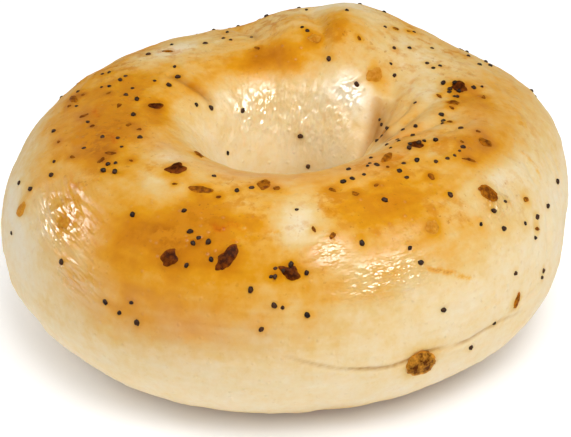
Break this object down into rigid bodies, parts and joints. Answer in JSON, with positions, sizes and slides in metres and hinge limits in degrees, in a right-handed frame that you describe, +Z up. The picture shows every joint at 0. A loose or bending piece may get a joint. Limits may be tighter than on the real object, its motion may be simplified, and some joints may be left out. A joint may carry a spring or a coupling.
{
  "type": "bagel",
  "caption": "Hand-rolled ring bagel with poppy seeds and browned onion flakes, lying on its flat base, with a hole through the middle and a raised knot where the dough ends join.",
  "frame": {"origin": "on the resting surface, under the middle of the bagel's outline", "axes": "+Z up through the hole, -Y towards the side with the wide smooth front, +Y towards the raised knot"},
  "size_m": [0.1096, 0.106, 0.0482],
  "materials": {
    "crust": "satin",
    "dark_onion": "satin",
    "brown_onion": "satin",
    "amber_onion": "satin",
    "nugget": "matte",
    "poppy": "matte"
  },
  "bodies": {
    "root": {"baked_dough": "crust", "roasted_nugget": "nugget", "onion_flake_01": "dark_onion", "onion_flake_02": "dark_onion", "onion_flake_03": "dark_onion", "onion_flake_04": "dark_onion", "onion_flake_05": "dark_onion", "onion_flake_06": "dark_onion", "onion_flake_07": "dark_onion", "onion_flake_08": "brown_onion", "onion_flake_09": "brown_onion", "onion_flake_10": "brown_onion", "onion_flake_11": "brown_onion", "onion_flake_12": "brown_onion", "onion_flake_13": "brown_onion", "onion_flake_14": "brown_onion", "onion_flake_15": "brown_onion", "onion_flake_16": "amber_onion", "onion_flake_17": "amber_onion", "onion_flake_18": "amber_onion", "onion_flake_19": "amber_onion", "onion_flake_20": "amber_onion", "onion_flake_21": "brown_onion", "poppy_seed_01": "poppy", "poppy_seed_02": "poppy", "poppy_seed_03": "poppy", "poppy_seed_04": "poppy", "poppy_seed_05": "poppy", "poppy_seed_06": "poppy", "poppy_seed_07": "poppy", "poppy_seed_08": "poppy", "poppy_seed_09": "poppy", "poppy_seed_10": "poppy", "poppy_seed_11": "poppy", "poppy_seed_12": "poppy", "poppy_seed_13": "poppy", "poppy_seed_14": "poppy", "poppy_seed_15": "poppy", "poppy_seed_16": "poppy", "poppy_seed_17": "poppy", "poppy_seed_18": "poppy", "poppy_seed_19": "poppy", "poppy_seed_20": "poppy", "poppy_seed_21": "poppy", "poppy_seed_22": "poppy", "poppy_seed_23": "poppy", "poppy_seed_24": "poppy", "poppy_seed_25": "poppy", "poppy_seed_26": "poppy", "poppy_seed_27": "poppy", "poppy_seed_28": "poppy", "poppy_seed_29": "poppy", "poppy_seed_30": "poppy", "poppy_seed_31": "poppy", "poppy_seed_32": "poppy", "poppy_seed_33": "poppy", "poppy_seed_34": "poppy", "poppy_seed_35": "poppy", "poppy_seed_36": "poppy"}
  },
  "joints": []
}
